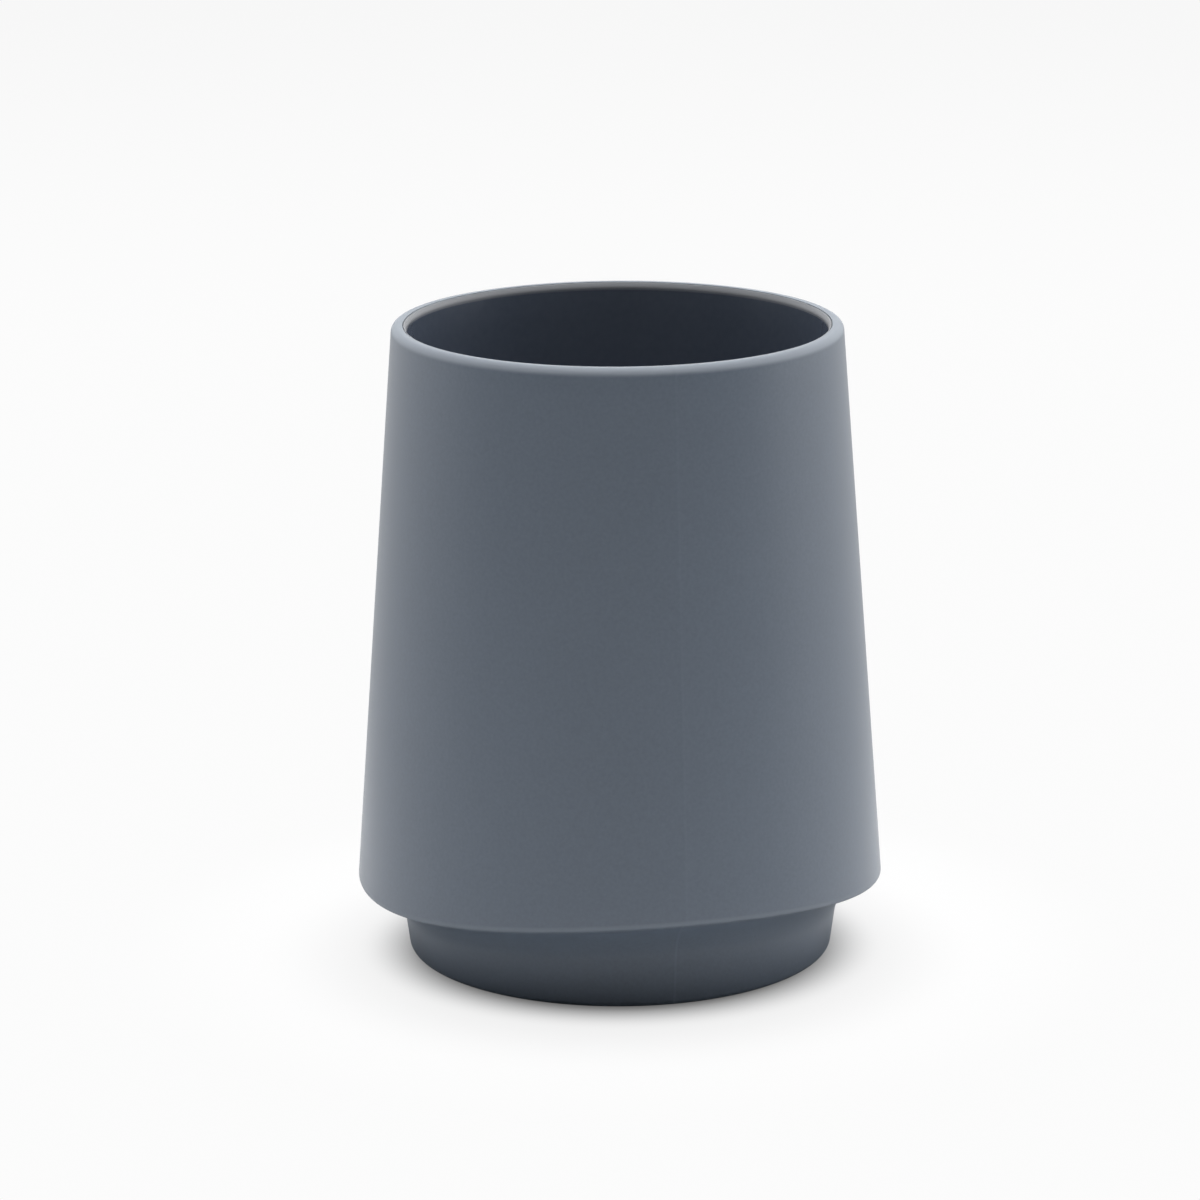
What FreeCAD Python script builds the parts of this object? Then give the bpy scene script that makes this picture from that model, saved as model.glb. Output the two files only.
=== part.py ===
import FreeCAD, Part
import Sketcher
import math
import os

# Bathroom tumbler: a matte shell with a tapered wall, an overhanging shoulder and a coved foot,
# a glossy liner cup held in its mouth, and a base plate with a soft ring that closes the foot.
# Millimetres and degrees. +Z is up, the floor is z = 0 and the axis of the cup is the Z axis.
# The shell's parting plane is x = 0, so its parting lines run down the front (-Y) and the back.

SIZES = (
    ("total_height", 108.0, "floor to the top of the rim"),
    ("rim_radius", 37.5, "outside of the wall at the rim"),
    ("shoulder_radius", 44.55, "outside of the wall at the lowest point of the shoulder's edge"),
    ("edge_low", 12.2, "height of the shoulder's edge at the two sides"),
    ("edge_rise", 4.55, "how much higher that edge is at the two parting lines"),
    ("edge_round", 1.1, "round along the shoulder's edge"),
    ("wall", 1.9, "thickness of the shell, measured level"),
    ("rim_round", 1.2, "round on the outside of the rim"),
    ("ledge", 7.13, "overhang of the shoulder's edge over the foot wall, at the two sides"),
    ("foot_flare", 8.0, "degrees that the foot wall leans out"),
    ("foot_lift", 0.5, "gap between the foot's edge and the floor"),
    ("foot_round", 1.15, "round along the foot's edge"),
    ("cove_radius", 6.6, "cove between the foot and the underside of the shoulder"),
    ("fit_gap", 0.12, "clearance all round between pieces that push together"),
    ("seat_margin", 0.5, "straight land in the foot above the base plate's edge"),
    ("bead_height", 0.3, "how far the base plate's snap bead stands out"),
    ("bead_width", 1.2, "width of the snap bead at its root"),
    ("plate_recess", 0.2, "base plate's rim above the foot's edge"),
    ("plate_depth", 3.0, "base plate from its rim to its upper face"),
    ("plate_web", 1.5, "thickness of the base plate's web"),
    ("gate_radius", 1.6, "dimple where the base plate was filled"),
    ("gate_depth", 0.4, "depth of that dimple"),
    ("pad_width", 4.6, "anti-slip ring, radially"),
    ("pad_round", 0.4, "round on the ring's standing edges"),
    ("pad_rim", 2.0, "base plate's rim outside the ring"),
    ("pad_kerb", 1.6, "base plate's kerb inside the ring"),
    ("bearer_inset", 1.0, "ring rib that bears the liner, in from the round of the liner's heel"),
    ("bearer_wall", 1.6, "thickness of that rib"),
    ("bearer_height", 2.3, "height of that rib above the base plate"),
    ("lip_drop", 0.12, "liner's lip below the rim"),
    ("lip_land", 0.1, "flat top of the lip, radially"),
    ("lip_width", 0.48, "lip from its outside to the foot of its bevel, radially"),
    ("lip_bevel", 0.7, "height of that bevel"),
    ("lip_reach", 20.0, "depth below the lip at which the liner has its full thickness"),
    ("liner_wall", 1.2, "thickness of the liner"),
    ("liner_floor", 2.0, "thickness of the liner's floor"),
    ("liner_draft", 2.2, "degrees that the liner's wall leans in towards the floor"),
    ("liner_corner", 5.0, "round between the liner's floor and wall, on the inside"),
    ("neck_gap", 1.0, "least room between the liner and the foot wall"),
    ("seal_drop", 5.0, "top of the seal below the lip"),
    ("seal_height", 2.4, "height of the seal"),
    ("seal_thick", 0.6, "thickness of the seal"),
    ("seal_gap", 0.05, "clearance on each side of the seal"),
    ("rib_height", 1.2, "height of the liner's snap rib under the seal"),
    ("rib_gap", 0.2, "clearance between that rib and the shell"),
)

# Sizes that follow from the ones above, as formulas of the second sheet.
DERIVED = (
    ("wall_lean", "(dim.shoulder_radius - dim.rim_radius) / (dim.total_height - dim.edge_low)"),
    ("foot_lean", "tan(dim.foot_flare * 1 deg)"),
    # The underside is a long arc across the cup: lowest in the middle, highest at the parting lines.
    ("edge_reach", "dim.shoulder_radius - wall_lean * dim.edge_rise"),
    ("edge_arc", "(edge_reach ^ 2 + dim.edge_rise ^ 2) / (2 * dim.edge_rise)"),
    ("foot_top", "dim.edge_low + dim.edge_rise + 2 * dim.wall"),
    ("foot_radius", "dim.shoulder_radius - dim.ledge - foot_lean * dim.edge_low"),
    ("cove_fit", "min(dim.cove_radius; 1.1 * (dim.ledge - dim.edge_round))"),
    ("rim_round_fit", "min(dim.rim_round; 0.9 * dim.wall)"),
    ("mouth_bevel", "0.35 * (dim.wall - rim_round_fit)"),
    ("seat_radius", "foot_radius + foot_lean * dim.foot_lift - dim.wall"),
    # Base plate and ring, from the outside in and from the floor up.
    ("plate_radius", "seat_radius - dim.fit_gap"),
    ("plate_bottom", "dim.foot_lift + dim.plate_recess"),
    ("plate_top", "plate_bottom + dim.plate_depth"),
    ("seat_top", "plate_top + dim.seat_margin"),
    ("web_bottom", "plate_top - dim.plate_web"),
    ("bead_level", "(plate_bottom + plate_top) / 2"),
    ("pad_outer", "plate_radius - dim.pad_rim"),
    ("pad_inner", "pad_outer - dim.pad_width"),
    ("kerb_inner", "pad_inner - dim.fit_gap - dim.pad_kerb"),
    # Liner, from the lip down.
    ("lip_top", "dim.total_height - dim.lip_drop"),
    ("lip_radius", "dim.rim_radius - dim.wall - dim.fit_gap"),
    ("bevel_foot", "lip_top - dim.lip_bevel"),
    ("thick_level", "lip_top - dim.lip_reach"),
    ("liner_bottom", "plate_top + dim.bearer_height"),
    ("liner_depth", "lip_top - liner_bottom"),
    # The liner leans in by its draft, or by more where the foot would leave it too little room.
    ("drafted_base", "lip_radius - tan(dim.liner_draft * 1 deg) * liner_depth"),
    ("neck_radius", "foot_radius + foot_lean * liner_bottom - dim.wall - dim.neck_gap"),
    ("liner_base", "min(drafted_base; neck_radius)"),
    ("liner_lean", "(lip_radius - liner_base) / liner_depth"),
    ("seal_top", "lip_top - dim.seal_drop"),
    ("seal_bottom", "seal_top - dim.seal_height"),
    ("groove_top", "seal_top + dim.seal_gap"),
    ("groove_inset", "dim.wall + 2 * dim.seal_gap + dim.seal_thick"),
    ("rib_top", "seal_bottom - dim.seal_gap"),
    ("rib_bottom", "rib_top - dim.rib_height"),
    ("corner_outer", "dim.liner_corner + min(dim.liner_wall; dim.liner_floor) / 2"),
    ("bearer_radius", "liner_base - corner_outer - dim.bearer_inset"),
)

doc = FreeCAD.newDocument("bathroom_tumbler")
dim = doc.addObject("Spreadsheet::Sheet", "dim")
dim.Label = "Sizes"
row = 0
for alias, size, note in SIZES:
    row += 1
    dim.set(f"A{row}", note)
    dim.set(f"B{row}", str(size))
    dim.setAlias(f"B{row}", alias)
doc.recompute()

calc = doc.addObject("Spreadsheet::Sheet", "calc")
calc.Label = "Derived sizes"
row = 0
for alias, formula in DERIVED:
    row += 1
    calc.set(f"A{row}", alias.replace("_", " "))
    calc.set(f"B{row}", "=" + formula)
    calc.setAlias(f"B{row}", alias)
doc.recompute()


def value(expression):
    return float(doc.dim.evalExpression(expression))


def outer_radius(level, inset="0"):
    """Outside of the tapered wall at a level, moved in by an inset."""
    return f"dim.rim_radius + calc.wall_lean * (dim.total_height - ({level})) - ({inset})"


def foot_radius(level, inset="0"):
    return f"calc.foot_radius + calc.foot_lean * ({level}) - ({inset})"


def liner_radius(level, inset="0"):
    return f"calc.lip_radius - calc.liner_lean * (calc.lip_top - ({level})) - ({inset})"


def new_body(name):
    return doc.addObject("PartDesign::Body", name)


def new_sketch(body, name, plane):
    sketch = body.newObject("Sketcher::SketchObject", name)
    support = [item for item in body.Origin.OriginFeatures if item.Role == plane][0]
    sketch.AttachmentSupport = (support, "")
    sketch.MapMode = "FlatFace"
    return sketch


def bind(sketch, constraint, name, expression):
    """Add a named constraint and tie its value to an expression."""
    index = sketch.addConstraint(constraint)
    sketch.renameConstraint(index, name)
    sketch.setExpression(f"Constraints.{name}", expression)


ROOT_POINT = (-1, 1)
START, END, CENTRE = range(1, 4)


def section_sketch(body, name, corners):
    """A closed half section in the XZ plane; each corner is (radius, level), None on the axis."""
    sketch = new_sketch(body, name, "XZ_Plane")
    places = []
    for radius, level in corners:
        across = 0.0 if radius is None else value(radius)
        places.append(FreeCAD.Vector(across, value(level), 0))
    count = len(places)
    for number in range(count):
        sketch.addGeometry(Part.LineSegment(places[number], places[(number + 1) % count]), False)
    for number in range(count):
        sketch.addConstraint(Sketcher.Constraint("Coincident", number, END, (number + 1) % count, START))
    for number, (radius, level) in enumerate(corners):
        corner = (number, START)
        if radius is None:
            sketch.addConstraint(Sketcher.Constraint("Vertical", *ROOT_POINT, *corner))
        else:
            across = Sketcher.Constraint("DistanceX", *ROOT_POINT, *corner, places[number].x)
            bind(sketch, across, f"radius{number}", radius)
        up = Sketcher.Constraint("DistanceY", *ROOT_POINT, *corner, places[number].y)
        bind(sketch, up, f"level{number}", level)
    return sketch


def turn(body, name, corners):
    """Turn a half section round the Z axis and add it to the body."""
    sketch = section_sketch(body, name + "_section", corners)
    feature = body.newObject("PartDesign::Revolution", name)
    feature.Profile = sketch
    feature.ReferenceAxis = (sketch, ["V_Axis"])
    feature.Angle = 360
    doc.recompute()
    return feature


def edges_where(feature, test):
    """Names of the edges of a feature whose whole length passes a test of a point."""
    names = []
    for number, edge in enumerate(feature.Shape.Edges, start=1):
        if all(test(point) for point in edge.discretize(7)):
            names.append(f"Edge{number}")
    return names


def soften(body, name, edges, radius):
    """Round the named edges of the body's last feature."""
    base = body.Tip
    feature = body.newObject("PartDesign::Fillet", name)
    feature.Base = (base, edges)
    feature.setExpression("Radius", radius)
    doc.recompute()
    return feature


TOUCH = 1e-4


def near(first, second):
    return abs(first - second) < TOUCH * value("dim.total_height")


def from_axis(point):
    return math.hypot(point.x, point.y)


def ring_at(radius, level):
    """A test for the circular edge at a radius and a level."""
    target_radius = value(radius)
    target_level = value(level)
    return lambda point: near(from_axis(point), target_radius) and near(point.z, target_level)


def underside_level(point, inset):
    """Height of the shoulder's underside, an arc across the cup."""
    arc = value("calc.edge_arc")
    return value("dim.edge_low") + value(inset) + arc - math.sqrt(arc * arc - point.y * point.y)


def cut_underside(body, inset):
    """Cut away all that lies below the arc of the shoulder's underside."""
    arc = value("calc.edge_arc")
    low = value(f"dim.edge_low + ({inset})")
    reach_size = "1.2 * dim.shoulder_radius"
    bottom_size = "dim.edge_low / 4"
    reach = value(reach_size)
    bottom = value(bottom_size)
    end_level = low + arc - math.sqrt(arc * arc - reach * reach)
    half_turn = math.asin(reach / arc)
    down = 1.5 * math.pi
    sketch = new_sketch(body, "underside_arc", "YZ_Plane")
    circle = Part.Circle(FreeCAD.Vector(0, low + arc, 0), FreeCAD.Vector(0, 0, 1), arc)
    sketch.addGeometry(Part.ArcOfCircle(circle, down - half_turn, down + half_turn), False)
    outline = ((reach, end_level), (reach, bottom), (-reach, bottom), (-reach, end_level))
    places = [FreeCAD.Vector(across, up, 0) for across, up in outline]
    for start, end in zip(places, places[1:]):
        sketch.addGeometry(Part.LineSegment(start, end), False)
    arc_edge, right_side, floor_side, left_side = range(4)
    for first, first_end, second, second_end in (
        (arc_edge, END, right_side, START),
        (right_side, END, floor_side, START),
        (floor_side, END, left_side, START),
        (left_side, END, arc_edge, START),
    ):
        joint = Sketcher.Constraint("Coincident", first, first_end, second, second_end)
        sketch.addConstraint(joint)
    sketch.addConstraint(Sketcher.Constraint("Vertical", *ROOT_POINT, arc_edge, CENTRE))
    sketch.addConstraint(Sketcher.Constraint("Vertical", right_side))
    sketch.addConstraint(Sketcher.Constraint("Horizontal", floor_side))
    sketch.addConstraint(Sketcher.Constraint("Vertical", left_side))
    bind(sketch, Sketcher.Constraint("Radius", arc_edge, arc), "arc_radius", "calc.edge_arc")
    centre_up = Sketcher.Constraint("DistanceY", *ROOT_POINT, arc_edge, CENTRE, low + arc)
    bind(sketch, centre_up, "arc_centre", f"dim.edge_low + ({inset}) + calc.edge_arc")
    right_out = Sketcher.Constraint("DistanceX", *ROOT_POINT, right_side, START, reach)
    bind(sketch, right_out, "right_reach", reach_size)
    left_out = Sketcher.Constraint("DistanceX", left_side, START, *ROOT_POINT, reach)
    bind(sketch, left_out, "left_reach", reach_size)
    floor_up = Sketcher.Constraint("DistanceY", *ROOT_POINT, floor_side, START, bottom)
    bind(sketch, floor_up, "bottom_level", bottom_size)
    before = body.Tip.Shape.Volume
    pocket = body.newObject("PartDesign::Pocket", "underside")
    pocket.Profile = sketch
    pocket.Type = "ThroughAll"
    pocket.SideType = "Symmetric"
    doc.recompute()
    if not pocket.Shape.Volume < before:
        raise RuntimeError("the underside of the shoulder was not cut")
    return pocket


def vessel(name, top, foot_corners, inset):
    """Tapered wall, arched underside and coved foot: the shell's outside, or its inside by an inset."""
    body = new_body(name)
    start = "dim.edge_low / 2"
    turn(body, "taper", (
        (None, start),
        (outer_radius(start, inset), start),
        (outer_radius(top, inset), top),
        (None, top),
    ))
    cut_underside(body, inset)
    foot = turn(body, "foot", foot_corners)

    def in_cove(point):
        on_foot = near(from_axis(point), value(foot_radius(str(point.z), inset)))
        return on_foot and near(point.z, underside_level(point, inset))

    soften(body, "cove", edges_where(foot, in_cove), "calc.cove_fit")
    return body


def build_outer_shell():
    foot_level = "dim.foot_lift"
    top = "dim.total_height"
    foot_top = "calc.foot_top"
    outside = vessel("shell_outside", top, (
        (None, foot_level),
        (foot_radius(foot_level), foot_level),
        (foot_radius(foot_top), foot_top),
        (None, foot_top),
    ), "0")

    def on_edge(point):
        on_wall = near(from_axis(point), value(outer_radius(str(point.z))))
        return on_wall and near(point.z, underside_level(point, "0"))

    soften(outside, "shoulder_edge", edges_where(outside.Tip, on_edge), "dim.edge_round")
    foot_ring = edges_where(outside.Tip, ring_at(foot_radius(foot_level), foot_level))
    soften(outside, "foot_edge", foot_ring, "dim.foot_round")
    rim_ring = edges_where(outside.Tip, ring_at("dim.rim_radius", top))
    soften(outside, "rim_edge", rim_ring, "calc.rim_round_fit")

    seat = "calc.seat_top"
    inside = vessel("shell_inside", "dim.total_height + dim.wall", (
        (None, "0"),
        ("calc.seat_radius", "0"),
        ("calc.seat_radius", seat),
        (foot_radius(seat, "dim.wall"), seat),
        (foot_radius(foot_top, "dim.wall"), foot_top),
        (None, foot_top),
    ), "dim.wall")
    turn(inside, "bead_groove", bead_section("calc.seat_radius", "dim.fit_gap"))
    bevel_low = "dim.total_height - calc.mouth_bevel"
    bevel_high = "dim.total_height + calc.mouth_bevel"
    turn(inside, "mouth", (
        (None, bevel_low),
        (outer_radius(bevel_low, "dim.wall"), bevel_low),
        (outer_radius(bevel_low, "dim.wall - 2 * calc.mouth_bevel"), bevel_high),
        (None, bevel_high),
    ))

    shell = doc.addObject("Part::Cut", "outer_shell")
    shell.Base = outside
    shell.Tool = inside
    return shell


def bead_section(radius, room):
    """A low ridge on a cylinder, widened by the room that its groove needs."""
    root = f"({radius}) - dim.bead_width"
    crest = f"({radius}) + dim.bead_height"
    half_root = f"(dim.bead_width / 2 + ({room}))"
    half_crest = f"(dim.bead_width / 6 + ({room}))"
    level = "calc.bead_level"
    return (
        (root, f"{level} - {half_root}"),
        (radius, f"{level} - {half_root}"),
        (crest, f"{level} - {half_crest}"),
        (crest, f"{level} + {half_crest}"),
        (radius, f"{level} + {half_root}"),
        (root, f"{level} + {half_root}"),
    )


def build_inner_liner():
    """The cup itself: floor, drafted wall, and a thin lip with the seal's groove and a rib below it."""
    liner = new_body("inner_liner")
    bottom = "calc.liner_bottom"
    floor = "calc.liner_bottom + dim.liner_floor"
    lip = "calc.lip_top"
    rib_low = "calc.rib_bottom"
    rib_high = "calc.rib_top"
    groove_high = "calc.groove_top"
    thick = "calc.thick_level"
    turn(liner, "cup", (
        (None, bottom),
        (liner_radius(bottom), bottom),
        (liner_radius(rib_low), rib_low),
        (outer_radius(rib_low, "dim.wall + dim.rib_gap"), rib_low),
        (outer_radius(rib_high, "dim.wall + dim.rib_gap"), rib_high),
        (outer_radius(rib_high, "calc.groove_inset"), rib_high),
        (outer_radius(groove_high, "calc.groove_inset"), groove_high),
        (liner_radius(groove_high), groove_high),
        ("calc.lip_radius", lip),
        ("calc.lip_radius - dim.lip_land", lip),
        ("calc.lip_radius - dim.lip_width", "calc.bevel_foot"),
        (liner_radius(thick, "dim.liner_wall"), thick),
        (liner_radius(floor, "dim.liner_wall"), floor),
        (None, floor),
    ))
    heel = edges_where(liner.Tip, ring_at(liner_radius(bottom), bottom))
    soften(liner, "heel", heel, "calc.corner_outer")
    corner = edges_where(liner.Tip, ring_at(liner_radius(floor, "dim.liner_wall"), floor))
    soften(liner, "corner", corner, "dim.liner_corner")
    return liner


def build_rim_seal():
    """A soft band in the liner's groove, which bears on the inside of the shell."""
    seal = new_body("rim_seal")
    low = "calc.seal_bottom"
    high = "calc.seal_top"
    outer_face = "dim.wall + dim.seal_gap"
    inner_face = f"{outer_face} + dim.seal_thick"
    turn(seal, "band", (
        (outer_radius(low, inner_face), low),
        (outer_radius(low, outer_face), low),
        (outer_radius(high, outer_face), high),
        (outer_radius(high, inner_face), high),
    ))
    return seal


def build_base_plate():
    """A turned tray: rim and kerb round the ring below, a rib above that bears the liner."""
    plate = new_body("base_plate")
    bottom = "calc.plate_bottom"
    web = "calc.web_bottom"
    top = "calc.plate_top"
    bearer = "calc.liner_bottom"
    turn(plate, "tray", (
        (None, "calc.web_bottom + dim.gate_depth"),
        ("dim.gate_radius", "calc.web_bottom + dim.gate_depth"),
        ("dim.gate_radius", web),
        ("calc.kerb_inner", web),
        ("calc.kerb_inner", bottom),
        ("calc.pad_inner - dim.fit_gap", bottom),
        ("calc.pad_inner - dim.fit_gap", web),
        ("calc.pad_outer + dim.fit_gap", web),
        ("calc.pad_outer + dim.fit_gap", bottom),
        ("calc.plate_radius", bottom),
        ("calc.plate_radius", top),
        ("calc.bearer_radius", top),
        ("calc.bearer_radius", bearer),
        ("calc.bearer_radius - dim.bearer_wall", bearer),
        ("calc.bearer_radius - dim.bearer_wall", top),
        (None, top),
    ))
    turn(plate, "snap_bead", bead_section("calc.plate_radius", "0"))
    return plate


def build_anti_slip_ring():
    """A soft ring in the base plate's channel; the tumbler stands on it."""
    pad = new_body("anti_slip_ring")
    turn(pad, "ring", (
        ("calc.pad_inner", "0"),
        ("calc.pad_outer", "0"),
        ("calc.pad_outer", "calc.web_bottom"),
        ("calc.pad_inner", "calc.web_bottom"),
    ))
    inner = edges_where(pad.Tip, ring_at("calc.pad_inner", "0"))
    outer = edges_where(pad.Tip, ring_at("calc.pad_outer", "0"))
    soften(pad, "standing_edges", inner + outer, "dim.pad_round")
    return pad


SUB_PARTS = {
    "outer_shell": build_outer_shell(),
    "inner_liner": build_inner_liner(),
    "rim_seal": build_rim_seal(),
    "base_plate": build_base_plate(),
    "anti_slip_ring": build_anti_slip_ring(),
}
for node, sub_part in SUB_PARTS.items():
    sub_part.Label = node
    sub_part.Placement = FreeCAD.Placement()
doc.recompute()

for item in doc.Objects:
    if "Invalid" in item.State or "Error" in item.State:
        raise RuntimeError(f"{item.Name} failed: {item.State}")
for node, sub_part in SUB_PARTS.items():
    shape = sub_part.Shape
    if shape.isNull() or not shape.isValid() or len(shape.Solids) != 1:
        raise RuntimeError(f"{node} is not one valid solid")

os.makedirs("parts", exist_ok=True)
for node, sub_part in SUB_PARTS.items():
    sub_part.Shape.exportStep(f"parts/{node}.step")
    box = sub_part.Shape.BoundBox
    print(f"{node}: {sub_part.Shape.Volume / 1000:.2f} cm3, z {box.ZMin:.2f} to {box.ZMax:.2f}, "
          f"{box.XLength:.2f} x {box.YLength:.2f} mm")
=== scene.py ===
# %% [markdown]
# # A double-walled bathroom tumbler
# The object is a matte, slate-grey drinking cup from a bathroom set. A tapered shell ends in an
# overhanging shoulder and stands on a narrower foot. A dark, glossy cup is held in its mouth, and a
# plate with a soft ring closes the foot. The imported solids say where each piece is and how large.
# This script gives the pieces their finished meshes, their materials, a floor, light and a camera.

# %% Load the solids and keep their box
import math

import bmesh
import bpy
from mathutils import Matrix, Vector


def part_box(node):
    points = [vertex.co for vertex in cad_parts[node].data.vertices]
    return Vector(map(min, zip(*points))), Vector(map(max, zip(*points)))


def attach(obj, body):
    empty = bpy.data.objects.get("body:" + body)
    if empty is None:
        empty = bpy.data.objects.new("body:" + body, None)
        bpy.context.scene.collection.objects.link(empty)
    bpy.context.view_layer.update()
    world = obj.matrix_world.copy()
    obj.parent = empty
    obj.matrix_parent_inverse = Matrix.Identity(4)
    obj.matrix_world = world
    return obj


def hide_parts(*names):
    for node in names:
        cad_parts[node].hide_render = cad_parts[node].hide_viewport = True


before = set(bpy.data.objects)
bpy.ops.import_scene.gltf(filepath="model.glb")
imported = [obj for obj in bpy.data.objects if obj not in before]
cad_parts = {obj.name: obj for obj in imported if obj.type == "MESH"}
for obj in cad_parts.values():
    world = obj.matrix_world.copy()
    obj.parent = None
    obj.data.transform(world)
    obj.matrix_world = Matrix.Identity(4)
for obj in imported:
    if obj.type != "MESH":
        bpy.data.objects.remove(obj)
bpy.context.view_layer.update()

mm = 0.001
shell_low, shell_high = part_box("outer_shell")
liner_low, liner_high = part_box("inner_liner")
plate_low, plate_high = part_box("base_plate")
ring_low, ring_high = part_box("anti_slip_ring")
seal_low, seal_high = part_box("rim_seal")
print("the shell stands from", round(shell_low.z / mm, 2), "to", round(shell_high.z / mm, 2), "mm")

# %% [markdown]
# ## Turned pieces
# Every piece of the tumbler is round, so each starts as a half section: a few corners, each given
# as a radius and a height. The spin operator turns the section round the Z axis, and the bevel
# operator then rounds the rings that the corners left. Rounding after the spin keeps the section
# short and gives each ring its own radius, as on the drawing of a moulded part.

# %% Turn a half section round the axis
AXIS = Vector((0.0, 0.0, 1.0))
TURN_STEPS = 240
TOUCH = 0.0005 * mm


def turned(section, closed):
    """Spin a half section; a closed one makes a ring, an open one starts and ends on the axis."""
    mesh = bmesh.new()
    points = [mesh.verts.new((radius, 0.0, height)) for radius, height in section]
    pairs = list(zip(points, points[1:]))
    if closed:
        pairs.append((points[-1], points[0]))
    lines = [mesh.edges.new(pair) for pair in pairs]
    bmesh.ops.spin(mesh, geom=points + lines, cent=(0, 0, 0), axis=AXIS, angle=math.tau,
                   steps=TURN_STEPS, use_merge=True)
    bmesh.ops.remove_doubles(mesh, verts=mesh.verts, dist=TOUCH)
    bmesh.ops.recalc_face_normals(mesh, faces=mesh.faces)
    return mesh


def reach(vert):
    return math.hypot(vert.co.x, vert.co.y)


# %% Round a ring and divide a side
LONG_EDGE = 1.0 * mm


def round_ring(mesh, corner, radius, angle, segments):
    """Round the ring at a corner of the section; the angle, in degrees, is between its two sides."""
    def here(vert):
        return abs(reach(vert) - corner[0]) < TOUCH and abs(vert.co.z - corner[1]) < TOUCH

    ring = [edge for edge in mesh.edges if all(here(vert) for vert in edge.verts)]
    width = radius / math.tan(math.radians(angle) / 2)
    bmesh.ops.bevel(mesh, geom=ring, offset=width, offset_type="OFFSET", segments=segments,
                    profile=0.5, affect="EDGES", material=-1, clamp_overlap=False)


def divide_side(mesh, low, high, cuts):
    """Divide the long upright edges on the side between two corners into rows of faces."""
    def on_side(vert):
        share = (vert.co.z - low[1]) / (high[1] - low[1])
        return abs(reach(vert) - low[0] - share * (high[0] - low[0])) < TOUCH

    def is_long(edge):
        return abs(edge.verts[0].co.z - edge.verts[1].co.z) > LONG_EDGE

    upright = [edge for edge in mesh.edges if is_long(edge) and all(on_side(v) for v in edge.verts)]
    bmesh.ops.subdivide_edges(mesh, edges=upright, cuts=cuts, use_grid_fill=True)


# %% Make a piece of a finished mesh
SHARP_TURN = math.radians(40)


def finish_piece(mesh, name, node):
    """Make a smooth object that stands for a solid, and hide the solid."""
    for face in mesh.faces:
        face.smooth = True
    for edge in mesh.edges:
        edge.smooth = edge.calc_face_angle(0.0) < SHARP_TURN
    data = bpy.data.meshes.new(name)
    mesh.to_mesh(data)
    mesh.free()
    piece = bpy.data.objects.new(name, data)
    bpy.context.scene.collection.objects.link(piece)
    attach(piece, "root")
    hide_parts(node)
    print(name, "has", len(data.polygons), "faces")
    return piece


# %% [markdown]
# ## The shell
# The shell is one moulding. Its wall leans in towards the rim, its shoulder overhangs, and a cove
# leads under the shoulder to a foot that leans out. The lower edge of the shoulder isn't level: it
# is an arc that is lowest at the two sides and rises towards the two parting lines. The shell is
# turned with a level edge first. Then the vertices near that edge are lifted along the arc, and
# each stays on the cone of the wall or of the foot that it lies on.

# %% Sizes of the shell
HEIGHT = shell_high.z
RIM_RADIUS = 37.5 * mm
SHOULDER_RADIUS = 44.55 * mm
EDGE_LOW = 12.2 * mm
EDGE_RISE = 4.55 * mm
WALL = 1.9 * mm
LEDGE = 7.13 * mm
FOOT_SLANT = 8.0
SEAT_TOP = 4.2 * mm
BEAD_LEVEL = 2.2 * mm
BEAD_DEPTH = 0.3 * mm
GROOVE_HALF = 0.72 * mm
GROOVE_CREST = 0.32 * mm
foot_lean = math.tan(math.radians(FOOT_SLANT))
wall_lean = (SHOULDER_RADIUS - RIM_RADIUS) / (HEIGHT - EDGE_LOW)
wall_slant = math.degrees(math.atan(wall_lean))


def wall_radius(height):
    return RIM_RADIUS + wall_lean * (HEIGHT - height)


def foot_radius(height):
    return SHOULDER_RADIUS - LEDGE - foot_lean * (EDGE_LOW - height)


seat_radius = foot_radius(shell_low.z) - WALL
print("the foot is", round(2 * foot_radius(0) / mm, 1), "mm wide and its seat",
      round(2 * seat_radius / mm, 2), "mm")

# %% Turn the shell
foot_edge = (foot_radius(shell_low.z), shell_low.z)
neck = (foot_radius(EDGE_LOW), EDGE_LOW)
shoulder_edge = (SHOULDER_RADIUS, EDGE_LOW)
rim_edge = (RIM_RADIUS, HEIGHT)
mouth_edge = (RIM_RADIUS - WALL, HEIGHT)
inner_level = EDGE_LOW + WALL
inner_shoulder = (wall_radius(inner_level) - WALL, inner_level)
inner_neck = (foot_radius(inner_level) - WALL, inner_level)
shell_mesh = turned((
    foot_edge,
    neck,
    shoulder_edge,
    rim_edge,
    mouth_edge,
    inner_shoulder,
    inner_neck,
    (foot_radius(SEAT_TOP) - WALL, SEAT_TOP),
    (seat_radius, SEAT_TOP),
    (seat_radius, BEAD_LEVEL + GROOVE_HALF),
    (seat_radius + BEAD_DEPTH, BEAD_LEVEL + GROOVE_CREST),
    (seat_radius + BEAD_DEPTH, BEAD_LEVEL - GROOVE_CREST),
    (seat_radius, BEAD_LEVEL - GROOVE_HALF),
    (seat_radius, shell_low.z),
), closed=True)

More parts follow.
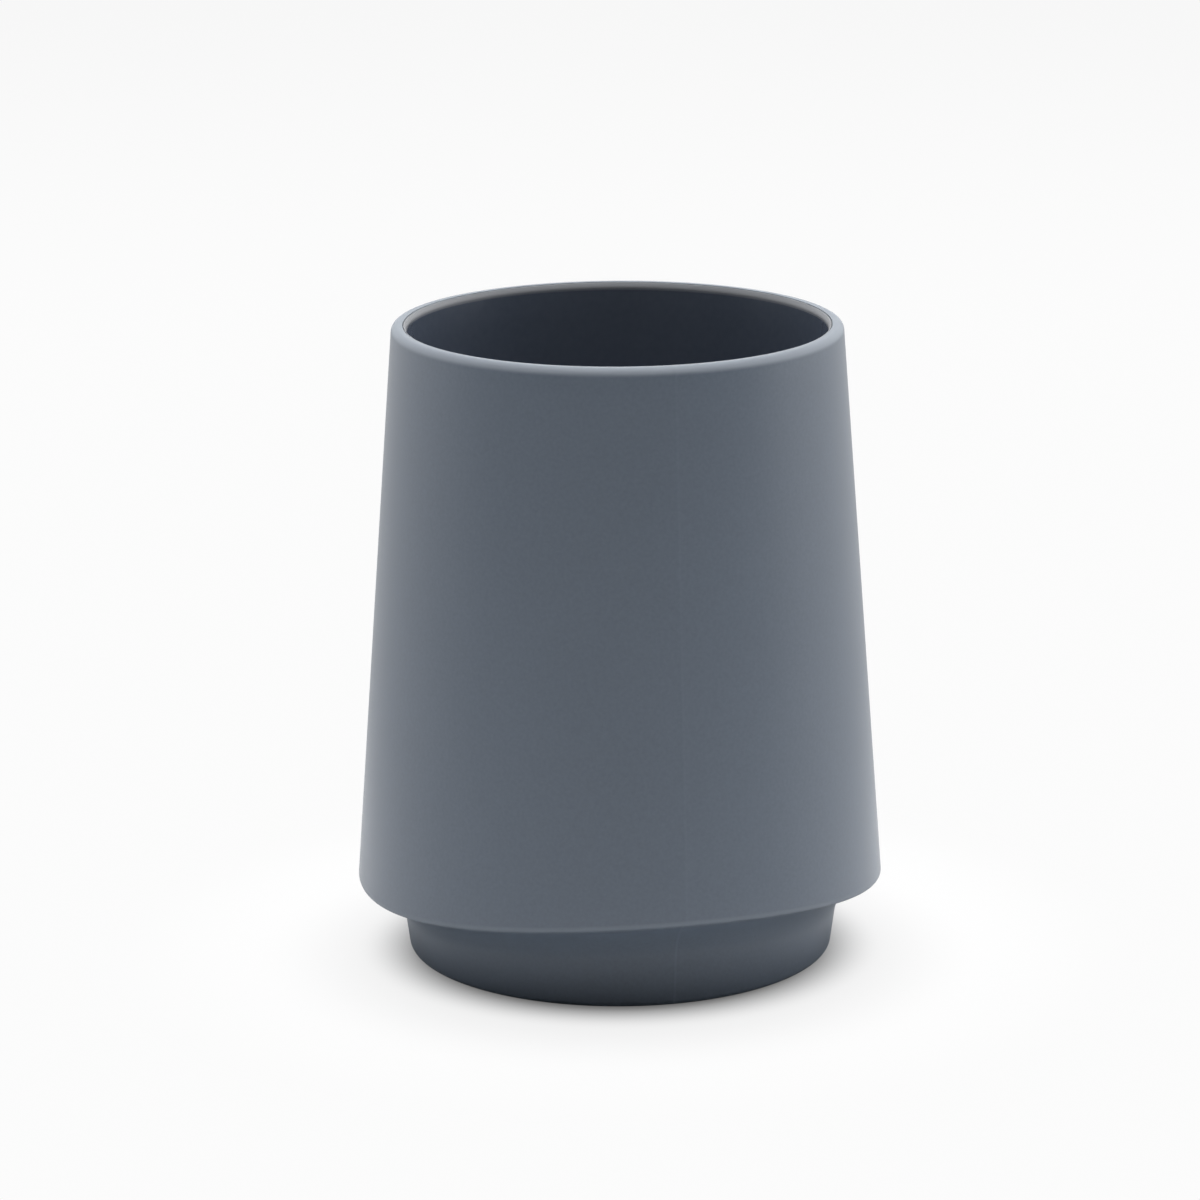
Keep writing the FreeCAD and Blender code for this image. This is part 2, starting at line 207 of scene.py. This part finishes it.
# %% Round the shell's edges
COVE_ROUND = 6.6 * mm
EDGE_ROUND = 1.1 * mm
RIM_ROUND = 1.2 * mm
MOUTH_ROUND = 0.12 * mm
FOOT_ROUND = 1.15 * mm
round_ring(shell_mesh, neck, COVE_ROUND, 90 + FOOT_SLANT, segments=18)
round_ring(shell_mesh, inner_neck, COVE_ROUND, 90 + FOOT_SLANT, segments=8)
round_ring(shell_mesh, shoulder_edge, EDGE_ROUND, 90 - wall_slant, segments=10)
round_ring(shell_mesh, rim_edge, RIM_ROUND, 90 + wall_slant, segments=10)
round_ring(shell_mesh, mouth_edge, MOUTH_ROUND, 90 - wall_slant, segments=4)
round_ring(shell_mesh, foot_edge, FOOT_ROUND, 90 + FOOT_SLANT, segments=8)
divide_side(shell_mesh, shoulder_edge, rim_edge, cuts=23)
divide_side(shell_mesh, foot_edge, neck, cuts=2)
print("the shell has", len(shell_mesh.faces), "faces before its edge is lifted")

# %% Lift the shoulder's edge along its arc
LIFT_FROM = SEAT_TOP
LIFT_FULL = 6.4 * mm
LIFT_KEEP = 15.0 * mm
LIFT_END = 60.0 * mm
EDGE_FROM = 43.0 * mm
edge_reach = SHOULDER_RADIUS - wall_lean * EDGE_RISE
arc_radius = (edge_reach ** 2 + EDGE_RISE ** 2) / (2 * EDGE_RISE)


def clamp(number):
    return min(max(number, 0.0), 1.0)


def lift_share(height):
    """Full lift from the cove to just above the edge, fading along the foot and up the wall."""
    below = clamp((height - LIFT_FROM) / (LIFT_FULL - LIFT_FROM))
    above = clamp((LIFT_END - height) / (LIFT_END - LIFT_KEEP))
    return below * above


for vert in shell_mesh.verts:
    radius = reach(vert)
    height = vert.co.z
    rise = lift_share(height) * (arc_radius - math.sqrt(arc_radius ** 2 - vert.co.y ** 2))
    towards_wall = clamp((radius - neck[0]) / LEDGE) if height < LIFT_KEEP else 1.0
    lean = foot_lean * (1 - towards_wall) - wall_lean * towards_wall
    scale = (radius + lean * rise) / radius
    vert.co = Vector((vert.co.x * scale, vert.co.y * scale, height + rise))
middle_verts = [vert for vert in shell_mesh.verts if abs(vert.co.x) < TOUCH]
front_edge = min(vert.co.z for vert in middle_verts if reach(vert) > EDGE_FROM)
print("the shoulder's edge is lowest at", EDGE_LOW / mm, "mm and at", round(front_edge / mm, 2),
      "mm on the parting line")

# %% [markdown]
# ## The parting lines
# The two halves of the mould met in the plane x = 0 and left a hair-thin ridge down the front and
# the back of the shell. A bump in the material could draw it, but a ridge of real faces keeps its
# highlight from every side. Two cuts beside the plane make room, and the line between them is
# drawn out along its normals.

# %% Raise the parting lines
RIDGE_HALF = 0.2 * mm
RIDGE_HEIGHT = 0.03 * mm
OUTWARD_LEAST = 0.2
DOWNWARD_LEAST = 0.5
for side in (-RIDGE_HALF, RIDGE_HALF):
    everything = shell_mesh.verts[:] + shell_mesh.edges[:] + shell_mesh.faces[:]
    bmesh.ops.bisect_plane(shell_mesh, geom=everything, dist=TOUCH / 10, plane_co=(side, 0, 0),
                           plane_no=(1, 0, 0))
shell_mesh.normal_update()
ridge = []
for vert in shell_mesh.verts:
    outward = vert.normal.y * math.copysign(1.0, vert.co.y)
    outside = outward > OUTWARD_LEAST or vert.normal.z < -DOWNWARD_LEAST
    if abs(vert.co.x) < TOUCH and outside:
        ridge.append(vert)
for vert in ridge:
    vert.co += vert.normal * RIDGE_HEIGHT
print(len(ridge), "points on the parting lines")
shell = finish_piece(shell_mesh, "shell", "outer_shell")

# %% [markdown]
# ## The liner
# The liner is the cup that holds the water: a drafted wall and a floor with a generous round
# between them, so that it wipes clean. Its wall thins towards a bevelled lip, which shows inside
# the rim. A groove below the lip holds the seal, and a rib below the groove snaps under the shell's
# wall. The section starts and ends on the axis, so the spin leaves a pole at each end, which
# merging the doubles closes.

# %% Turn the liner
FIT_GAP = 0.12 * mm
LIP_RADIUS = RIM_RADIUS - WALL - FIT_GAP
LINER_SLANT = 2.2
LINER_WALL = 1.2 * mm
LINER_FLOOR = 2.0 * mm
LINER_CORNER = 5.0 * mm
LIP_LAND = 0.1 * mm
LIP_WIDTH = 0.48 * mm
LIP_BEVEL = 0.7 * mm
LIP_REACH = 20.0 * mm
LIP_ROUND = 0.15 * mm
LIP_OUTER_ROUND = 0.04 * mm
BEVEL_FOOT_ROUND = 1.0 * mm
RIB_HEIGHT = 1.2 * mm
RIB_GAP = 0.2 * mm
SEAL_GAP = 0.05 * mm
SEAL_THICK = 0.6 * mm
liner_lean = math.tan(math.radians(LINER_SLANT))


def liner_radius(height):
    return LIP_RADIUS - liner_lean * (liner_high.z - height)


def behind_shell(height, gap):
    """Radius of a face that follows the inside of the shell's wall at a gap."""
    return wall_radius(height) - WALL - gap


rib_top = seal_low.z - SEAL_GAP
rib_low = rib_top - RIB_HEIGHT
groove_top = seal_high.z + SEAL_GAP
groove_gap = 2 * SEAL_GAP + SEAL_THICK
floor_top = liner_low.z + LINER_FLOOR
heel = (liner_radius(liner_low.z), liner_low.z)
heel_round = LINER_CORNER + min(LINER_WALL, LINER_FLOOR) / 2
corner = (liner_radius(floor_top) - LINER_WALL, floor_top)
lip_outer = (LIP_RADIUS, liner_high.z)
lip_inner = (LIP_RADIUS - LIP_LAND, liner_high.z)
bevel_foot = (LIP_RADIUS - LIP_WIDTH, liner_high.z - LIP_BEVEL)
thick_level = liner_high.z - LIP_REACH
thick_wall = (liner_radius(thick_level) - LINER_WALL, thick_level)
bevel_slant = math.degrees(math.atan((LIP_WIDTH - LIP_LAND) / LIP_BEVEL))
thin_slant = math.degrees(math.atan((bevel_foot[0] - thick_wall[0]) / (bevel_foot[1] - thick_level)))
liner_mesh = turned((
    (0.0, liner_low.z),
    heel,
    (liner_radius(rib_low), rib_low),
    (behind_shell(rib_low, RIB_GAP), rib_low),
    (behind_shell(rib_top, RIB_GAP), rib_top),
    (behind_shell(rib_top, groove_gap), rib_top),
    (behind_shell(groove_top, groove_gap), groove_top),
    (liner_radius(groove_top), groove_top),
    lip_outer,
    lip_inner,
    bevel_foot,
    thick_wall,
    corner,
    (0.0, floor_top),
), closed=False)
round_ring(liner_mesh, heel, heel_round, 90 + LINER_SLANT, segments=10)
round_ring(liner_mesh, corner, LINER_CORNER, 90 + LINER_SLANT, segments=12)
round_ring(liner_mesh, lip_inner, LIP_ROUND, 90 + bevel_slant, segments=5)
round_ring(liner_mesh, bevel_foot, BEVEL_FOOT_ROUND, 180 - bevel_slant + thin_slant, segments=5)
round_ring(liner_mesh, lip_outer, LIP_OUTER_ROUND, 90 - LINER_SLANT, segments=3)
divide_side(liner_mesh, corner, thick_wall, cuts=7)
divide_side(liner_mesh, thick_wall, bevel_foot, cuts=3)
liner = finish_piece(liner_mesh, "liner_cup", "inner_liner")

# %% [markdown]
# ## The seal
# The seal is a soft band that keeps water out of the double wall. It sits in the liner's groove and
# bears on the shell with two rounded ridges, as such bands do, so that little pressure makes it
# tight. It can hardly be seen from outside, but it is there when the tumbler is taken apart.

# %% Turn the seal
VALLEY = 0.22 * mm
SEAL_ROUND = 0.25 * mm
SEAL_CORNER = 80.0
middle = (seal_low.z + seal_high.z) / 2
seal_inner_gap = SEAL_GAP + SEAL_THICK
seal_corners = [(behind_shell(z, SEAL_GAP), z) for z in (seal_low.z, seal_high.z)]
seal_mesh = turned((
    (behind_shell(seal_low.z, seal_inner_gap), seal_low.z),
    seal_corners[0],
    (behind_shell(middle, SEAL_GAP + VALLEY), middle),
    seal_corners[1],
    (behind_shell(seal_high.z, seal_inner_gap), seal_high.z),
), closed=True)
for seal_corner in seal_corners:
    round_ring(seal_mesh, seal_corner, SEAL_ROUND, SEAL_CORNER, segments=5)
seal = finish_piece(seal_mesh, "sealing_band", "rim_seal")

# %% [markdown]
# ## The base plate
# The plate snaps into the foot. Above, a ring rib bears the liner. Below, a rim and a kerb leave a
# channel for the soft ring, and a small dimple in the middle is where the plastic was let in. Its
# edges get small rounds, because a moulded edge is never sharp.

# %% Turn the base plate
PLATE_RADIUS = seat_radius - FIT_GAP
PLATE_TOP = 3.7 * mm
PLATE_ROUND = 0.2 * mm
BEARER_INSET = 1.0 * mm
BEARER_RADIUS = heel[0] - heel_round - BEARER_INSET
BEARER_WALL = 1.6 * mm
KERB_WALL = 1.6 * mm
GATE_RADIUS = 1.6 * mm
GATE_DEPTH = 0.4 * mm
RING_WIDTH = 4.6 * mm
BEAD_HALF = 0.6 * mm
BEAD_CREST = 0.2 * mm
web_low = ring_high.z
ring_outer = ring_high.x
ring_inner = ring_outer - RING_WIDTH
channel_inner = ring_inner - FIT_GAP
channel_outer = ring_outer + FIT_GAP
kerb_inner = channel_inner - KERB_WALL
low_radii = (kerb_inner, channel_inner, channel_outer, PLATE_RADIUS)
plate_low_edges = [(radius, plate_low.z) for radius in low_radii]
bearer_edges = [(radius, plate_high.z) for radius in (BEARER_RADIUS, BEARER_RADIUS - BEARER_WALL)]
gate_edge = (GATE_RADIUS, web_low)
plate_mesh = turned((
    (0.0, web_low + GATE_DEPTH),
    (GATE_RADIUS, web_low + GATE_DEPTH),
    gate_edge,
    (kerb_inner, web_low),
    plate_low_edges[0],
    plate_low_edges[1],
    (channel_inner, web_low),
    (channel_outer, web_low),
    plate_low_edges[2],
    plate_low_edges[3],
    (PLATE_RADIUS, BEAD_LEVEL - BEAD_HALF),
    (PLATE_RADIUS + BEAD_DEPTH, BEAD_LEVEL - BEAD_CREST),
    (PLATE_RADIUS + BEAD_DEPTH, BEAD_LEVEL + BEAD_CREST),
    (PLATE_RADIUS, BEAD_LEVEL + BEAD_HALF),
    (PLATE_RADIUS, PLATE_TOP),
    (BEARER_RADIUS, PLATE_TOP),
    bearer_edges[0],
    bearer_edges[1],
    (BEARER_RADIUS - BEARER_WALL, PLATE_TOP),
    (0.0, PLATE_TOP),
), closed=False)
for edge_corner in plate_low_edges + bearer_edges + [gate_edge]:
    round_ring(plate_mesh, edge_corner, PLATE_ROUND, 90, segments=4)
plate = finish_piece(plate_mesh, "foot_plate", "base_plate")

# %% [markdown]
# ## The standing ring
# The tumbler stands on a soft ring that lies in the plate's channel and reaches a little below the
# foot. That is the thin dark line between the foot and the floor. Its standing edges are rounded,
# and two fine grooves in its face keep it from sucking fast to a wet shelf.

# %% Turn the standing ring
GROOVE_WIDTH = 0.5 * mm
GROOVE_DEPTH = 0.35 * mm
GROOVE_SHARES = (0.36, 0.64)
RING_ROUND = 0.4 * mm
ring_edges = [(ring_inner, ring_low.z), (ring_outer, ring_low.z)]
ring_section = [(ring_inner, ring_high.z), ring_edges[0]]
for share in GROOVE_SHARES:
    groove = ring_inner + share * RING_WIDTH
    ring_section.append((groove - GROOVE_WIDTH / 2, ring_low.z))
    ring_section.append((groove, ring_low.z + GROOVE_DEPTH))
    ring_section.append((groove + GROOVE_WIDTH / 2, ring_low.z))
ring_section += [ring_edges[1], (ring_outer, ring_high.z)]
ring_mesh = turned(ring_section, closed=True)
for ring_edge in ring_edges:
    round_ring(ring_mesh, ring_edge, RING_ROUND, 90, segments=6)
ring = finish_piece(ring_mesh, "standing_ring", "anti_slip_ring")

# %% [markdown]
# ## Writing shader maths
# A material is a tree of nodes. Adding and multiplying with Math nodes by hand is long, so one small
# class wraps a socket: sums written with it add the Math nodes. Every other node comes from its one
# method, which sets the node up first and then fills or links its sockets.

# %% One class for sockets
class Wire:
    """One socket of a node tree; arithmetic with it adds Math nodes."""

    def __init__(self, tree, socket=None):
        self.tree = tree
        self.socket = socket

    def node(self, kind, settings=None, inputs=None, out=0):
        """Add a node of any kind: settings first, then the values or links of its sockets."""
        node = self.tree.nodes.new(kind)
        for name, setting in (settings or {}).items():
            setattr(node, name, setting)
        for name, entry in (inputs or {}).items():
            if isinstance(entry, Wire):
                self.tree.links.new(entry.socket, node.inputs[name])
            else:
                node.inputs[name].default_value = entry
        return Wire(self.tree, node.outputs[out] if node.outputs else None)

    def maths(self, operation, first, second):
        return self.node("ShaderNodeMath", {"operation": operation}, {0: first, 1: second})

    def __add__(self, other):
        return self.maths("ADD", self, other)

    def __sub__(self, other):
        return self.maths("SUBTRACT", self, other)

    def __mul__(self, other):
        return self.maths("MULTIPLY", self, other)

    def __rsub__(self, other):
        return self.maths("SUBTRACT", other, self)

    def __abs__(self):
        return self.node("ShaderNodeMath", {"operation": "ABSOLUTE"}, {0: self})

    __radd__ = __add__
    __rmul__ = __mul__


def blended(factor, first, second):
    """Mix two colours by a factor."""
    return factor.node("ShaderNodeMix", {"data_type": "RGBA"}, {0: factor, 6: first, 7: second}, out=2)


def ramped(number, low, high):
    """A smooth step from 0 at the low end to 1 at the high end."""
    return number.node("ShaderNodeMapRange", {"interpolation_type": "SMOOTHSTEP"},
                       {"Value": number, "From Min": low, "From Max": high})


def noise(place, size, detail):
    """Noise of about 0 to 1 whose spots are of the given size in metres."""
    return place.node("ShaderNodeTexNoise", {}, {"Vector": place, "Scale": 1 / size, "Detail": detail})


# %% Start a material and put it on a piece
def new_finish(name):
    """An empty material, and the wires of its object coordinates."""
    material = bpy.data.materials.new(name)
    material.use_nodes = True
    material.node_tree.nodes.clear()
    tree = Wire(material.node_tree)
    return material, tree.node("ShaderNodeTexCoord", out="Object")


def close_finish(place, surface):
    place.node("ShaderNodeOutputMaterial", {}, {"Surface": surface})


def close_relief(place, colour, roughness, relief, strength, depth, ior):
    """Close a finish with one surface whose bump follows a relief."""
    bump = place.node("ShaderNodeBump", {}, {"Strength": strength, "Distance": depth, "Height": relief})
    surface = place.node("ShaderNodeBsdfPrincipled", {}, {
        "Base Color": colour,
        "Roughness": roughness,
        "Normal": bump,
        "IOR": ior,
    })
    close_finish(place, surface)


def rgb(red, green, blue):
    return (red, green, blue, 1.0)


def grey(level):
    return rgb(level, level, level)


def dress(piece, material):
    piece.data.materials.clear()
    piece.data.materials.append(material)
    print(piece.name, "wears", material.name, "of", len(material.node_tree.nodes), "nodes")


# %% [markdown]
# ## The soft-touch finish of the shell
# The shell's plastic is matte and feels slightly velvety. Up close it has a fine grain from the
# etched mould, which breaks up the light, and it takes on faint cloudy marks where hands hold it.
# So the colour and the roughness vary a little with two noises, and the fine one also makes a bump.
# The rounded rim and the shoulder's lower edge are painted paler, a painted highlight for the light
# that the lamp above and the floor below throw on them, and they are also rougher, the edge less than
# the rim. Along the parting lines it is a shade paler, and most so on the foot.

# %% Finish of the shell
PLASTIC_IOR = 1.5
SHELL_GRAIN = 0.6 * mm
SHELL_CLOUD = 18 * mm
SEAM_FADE = (0.08 * mm, 0.3 * mm)
# Where and how strongly the rim and the shoulder's lower edge get a painted highlight.
EDGE_HIGHLIGHT_START = (EDGE_LOW - 0.4 * mm, EDGE_LOW + 0.1 * mm)
EDGE_HIGHLIGHT_END = (EDGE_LOW + 0.5 * mm, EDGE_LOW + 1.3 * mm)
EDGE_HIGHLIGHT_SHARE = 0.42
RIM_HIGHLIGHT_START = (HEIGHT - 1.5 * mm, HEIGHT - 0.7 * mm)
SEAM_ON_WALL = 0.09
SEAM_ON_FOOT = 0.24
SLATE_DARK = (0.090, 0.113, 0.148)
SLATE_PALE = (0.138, 0.169, 0.214)
SLATE_PAINTED_HIGHLIGHT = (0.232, 0.262, 0.302)


def shell_finish():
    material, place = new_finish("slate_soft_touch")
    grain = noise(place, SHELL_GRAIN, 3.0)
    cloud = noise(place, SHELL_CLOUD, 2.0)
    across, along, height = (
        place.node("ShaderNodeSeparateXYZ", {}, {"Vector": place}, out=name) for name in "XYZ")
    seam = 1 - ramped(abs(across), *SEAM_FADE)
    # A shallow arc rises by about the square of the distance along it over twice its radius.
    levelled = height - along * along * (0.5 / arc_radius)
    # Painted highlight: the rim and the shoulder's lower edge are painted paler, standing in for light
    # from the lamp above and from the floor below. The same mask makes them rougher.
    edge = ramped(levelled, *EDGE_HIGHLIGHT_START) * (1 - ramped(levelled, *EDGE_HIGHLIGHT_END))
    painted_highlight = ramped(height, *RIM_HIGHLIGHT_START) + EDGE_HIGHLIGHT_SHARE * edge
    on_foot = 1 - ramped(height, EDGE_LOW, EDGE_LOW + EDGE_RISE)
    tone = 0.6 * grain + 0.15 * cloud + seam * (SEAM_ON_WALL + SEAM_ON_FOOT * on_foot)
    velvet = blended(tone, rgb(*SLATE_DARK), rgb(*SLATE_PALE))
    colour = blended(painted_highlight, velvet, rgb(*SLATE_PAINTED_HIGHLIGHT))
    roughness = 0.30 + 0.10 * grain + 0.06 * cloud - 0.03 * seam + 0.25 * painted_highlight
    close_relief(place, colour, roughness, grain, strength=0.25, depth=0.02 * mm, ior=PLASTIC_IOR)
    return material


dress(shell, shell_finish())

# %% [markdown]
# ## The gloss of the liner
# The liner has a dark, glossy coat. A perfect mirror would look like glass:
# a real coat has a slight waviness and a film of fine marks from wiping. From just below the lip's
# bevel up, the colour is painted pale grey and rougher: a painted highlight for light from above and
# the front.

# %% Finish of the liner
COAT_WAVE = 9 * mm
COAT_MARKS = 1.2 * mm
# The lip and a short fade below it get a painted highlight.
LIP_HIGHLIGHT_FADE = 0.7 * mm
COAT_DARK = (0.072, 0.087, 0.119)
COAT_MARKED = (0.089, 0.107, 0.143)
LIP_PAINTED_HIGHLIGHT = (0.248, 0.257, 0.275)


def liner_finish():
    material, place = new_finish("dark_gloss")
    wave = noise(place, COAT_WAVE, 1.0)
    marks = noise(place, COAT_MARKS, 4.0)
    height = place.node("ShaderNodeSeparateXYZ", {}, {"Vector": place}, out="Z")
    # Painted highlight: the lip and a short fade below it are painted pale grey and made rougher,
    # standing in for light from above and the front.
    lip_highlight = ramped(height, bevel_foot[1] - LIP_HIGHLIGHT_FADE, bevel_foot[1])
    coat = blended(marks, rgb(*COAT_DARK), rgb(*COAT_MARKED))
    colour = blended(lip_highlight, coat, rgb(*LIP_PAINTED_HIGHLIGHT))
    roughness = 0.16 + 0.06 * marks + 0.04 * wave + 0.35 * lip_highlight
    close_relief(place, colour, roughness, wave, strength=0.15, depth=0.05 * mm, ior=PLASTIC_IOR)
    return material


dress(liner, liner_finish())

# %% [markdown]
# ## The plate, the ring and the seal
# The plate is the same plastic as the shell with a deeper, sparked texture, because nobody sees it
# on the shelf. The ring and the seal are black rubber: nearly no gloss, a pale bloom in patches and
# a grain that is just coarse enough to grip.

# %% Finish of the base plate
SPARK_SIZE = 0.6 * mm
SPARK_DARK = (0.070, 0.082, 0.100)
SPARK_PALE = (0.105, 0.122, 0.148)


def plate_finish():
    material, place = new_finish("sparked_slate")
    spark = noise(place, SPARK_SIZE, 4.0)
    colour = blended(spark, rgb(*SPARK_DARK), rgb(*SPARK_PALE))
    roughness = 0.42 + 0.22 * spark
    close_relief(place, colour, roughness, spark, strength=0.4, depth=0.04 * mm, ior=PLASTIC_IOR)
    return material


dress(plate, plate_finish())

# %% Finish of the rubber pieces
RUBBER_IOR = 1.45
RUBBER_GRAIN = 0.45 * mm
RUBBER_BLOOM = 6 * mm
RUBBER_BLACK = (0.016, 0.016, 0.018)
RUBBER_PALE = (0.034, 0.034, 0.036)


def rubber_finish():
    material, place = new_finish("black_rubber")
    grain = noise(place, RUBBER_GRAIN, 3.0)
    bloom = noise(place, RUBBER_BLOOM, 3.0)
    colour = blended(bloom, rgb(*RUBBER_BLACK), rgb(*RUBBER_PALE))
    roughness = 0.72 + 0.12 * grain
    close_relief(place, colour, roughness, grain, strength=0.3, depth=0.04 * mm, ior=RUBBER_IOR)
    return material


rubber = rubber_finish()
dress(ring, rubber)
dress(seal, rubber)

# %% [markdown]
# ## Floor, light and camera
# The photograph is a plain product shot: a white sweep, soft screens, a lamp overhead and a long lens.
# The side that the camera stands on is the dark side of the studio, so the middle of the wall is the
# darkest and its two edges shine. Lamps could do it, but one sky that depends on the direction is
# shorter. The floor is white to the camera, except close to the foot, where it keeps the shadow.
# There its colour is painted darker, a painted shade under the shoulder that also keeps the foot dark,
# and a ring round that is painted paler, a painted light that throws more light up at the shoulder's
# edge.

# %% The floor
FLOOR_HALF = 4.0
FLOOR_DROP = 0.02 * mm
# The floor's colour carries a painted shade in a pool under the shoulder and a painted light in a ring
# round it.
POOL_CENTRE = Vector((-1.1, -4.4, 0.0)) * mm
POOL_EDGE = (34 * mm, 62 * mm)
FAR_EDGE = (80 * mm, 250 * mm)
SHADOW_EDGE = (29.5 * mm, 45 * mm)
SHADOW_FADE = (45 * mm, 90 * mm)
SHADOW_SHARE = 0.86
WHITE_FALL = (0.5, 1.3)
POOL_PAINTED_SHADE_GREY = 0.33
RING_PAINTED_LIGHT_GREY = 0.89
FAR_GREY = 0.64
WHITE_NEAR = 0.97
WHITE_FAR = 0.93
SEEN_RAYS = ("Is Camera Ray", "Is Glossy Ray", "Is Transmission Ray")
floor_mesh = bmesh.new()
bmesh.ops.create_grid(floor_mesh, x_segments=8, y_segments=8, size=FLOOR_HALF)
bmesh.ops.translate(floor_mesh, verts=floor_mesh.verts, vec=(0, 0, -FLOOR_DROP))
floor_data = bpy.data.meshes.new("floor")
floor_mesh.to_mesh(floor_data)
floor_mesh.free()
floor = bpy.data.objects.new("floor", floor_data)
bpy.context.scene.collection.objects.link(floor)


def floor_finish():
    material, place = new_finish("white_sweep")
    level = place.node("ShaderNodeVectorMath", {"operation": "MULTIPLY"}, {0: place, 1: (1, 1, 0)})
    distance = place.node("ShaderNodeVectorMath", {"operation": "LENGTH"}, {0: level}, out="Value")
    ahead = place.node("ShaderNodeVectorMath", {"operation": "DISTANCE"},
                       {0: level, 1: POOL_CENTRE}, out="Value")
    # Painted shade and painted light: the floor's colour is dark in a pool near the foot and paler in a
    # ring round it.
    pool = ramped(ahead, *POOL_EDGE)
    far = ramped(distance, *FAR_EDGE)
    painted_shade_and_light = blended(pool, grey(POOL_PAINTED_SHADE_GREY), grey(RING_PAINTED_LIGHT_GREY))
    colour = blended(far, painted_shade_and_light, grey(FAR_GREY))
    sweep = place.node("ShaderNodeBsdfPrincipled", {}, {
        "Base Color": colour,
        "Roughness": 0.7,
        "Specular IOR Level": 0.2,
    })
    white = blended(ramped(distance, *WHITE_FALL), grey(WHITE_NEAR), grey(WHITE_FAR))
    glow = place.node("ShaderNodeEmission", {}, {"Color": white, "Strength": 1.0})
    clear = (SHADOW_SHARE * ramped(distance, *SHADOW_EDGE)
             + (1 - SHADOW_SHARE) * ramped(distance, *SHADOW_FADE))
    camera_ray, glossy_ray, through_ray = (
        place.node("ShaderNodeLightPath", out=kind) for kind in SEEN_RAYS)
    seen = clear * camera_ray + far * (glossy_ray + through_ray)
    surface = place.node("ShaderNodeMixShader", {}, {0: seen, 1: sweep, 2: glow})
    close_finish(place, surface)
    return material


dress(floor, floor_finish())

# %% The camera
CAMERA_PLACE = Vector((-198.05, -780.04, 269.9)) * mm
CAMERA_HEADING = math.radians(14.023)
CAMERA_PITCH = math.radians(14.588)
CAMERA_ROLL = math.radians(0.313)
CAMERA_SENSOR = 36.0
CAMERA_LENS = 148.35
CAMERA_CLIP = 0.01
camera_data = bpy.data.cameras.new("camera")
camera_data.sensor_width = CAMERA_SENSOR
camera_data.lens = CAMERA_LENS
camera_data.clip_start = CAMERA_CLIP
camera = bpy.data.objects.new("camera", camera_data)
bpy.context.scene.collection.objects.link(camera)
camera.matrix_world = (
    Matrix.Translation(CAMERA_PLACE)
    @ Matrix.Rotation(-CAMERA_HEADING, 4, "Z")
    @ Matrix.Rotation(math.pi / 2 - CAMERA_PITCH, 4, "X")
    @ Matrix.Rotation(-CAMERA_ROLL, 4, "Z")
)
bpy.context.scene.camera = camera

# %% The sky of the studio
SKY_LEFT = 1.42
SKY_RIGHT = 2.85
SKY_BACK = 2.3
SKY_LAMP = 4.8
SIDES_MEET = (-0.4, 0.4)
SCREENS_START = (-0.32, 0.0)
SCREENS_BACK = (0.0, 0.95)
SCREENS_TOP = (0.4, 0.75)
LAMP_EDGE = (0.80, 0.95)
world = bpy.data.worlds.new("studio")
bpy.context.scene.world = world
world.use_nodes = True
world.node_tree.nodes.clear()
away = (math.sin(CAMERA_HEADING), math.cos(CAMERA_HEADING), 0.0)
right = (math.cos(CAMERA_HEADING), -math.sin(CAMERA_HEADING), 0.0)
direction = Wire(world.node_tree).node("ShaderNodeTexCoord", out="Generated")


def towards(axis):
    """How far the direction of a ray points along an axis, from -1 to 1."""
    return direction.node("ShaderNodeVectorMath", {"operation": "DOT_PRODUCT"},
                          {0: direction, 1: axis}, out="Value")


depth = towards(away)
upward = towards(AXIS)
sides = SKY_LEFT + (SKY_RIGHT - SKY_LEFT) * ramped(towards(right), *SIDES_MEET)
screens = sides * ramped(depth, *SCREENS_START) + (SKY_BACK - sides) * ramped(depth, *SCREENS_BACK)
lamp = SKY_LAMP * ramped(upward, *LAMP_EDGE)
strength = screens * (1 - ramped(upward, *SCREENS_TOP)) + lamp
sky = direction.node("ShaderNodeBackground", {}, {"Color": rgb(1, 1, 1), "Strength": strength})
direction.node("ShaderNodeOutputWorld", {}, {"Surface": sky})
bpy.context.scene.view_settings.view_transform = "Standard"
print("the camera is", round(camera.location.length, 3), "m from the tumbler")
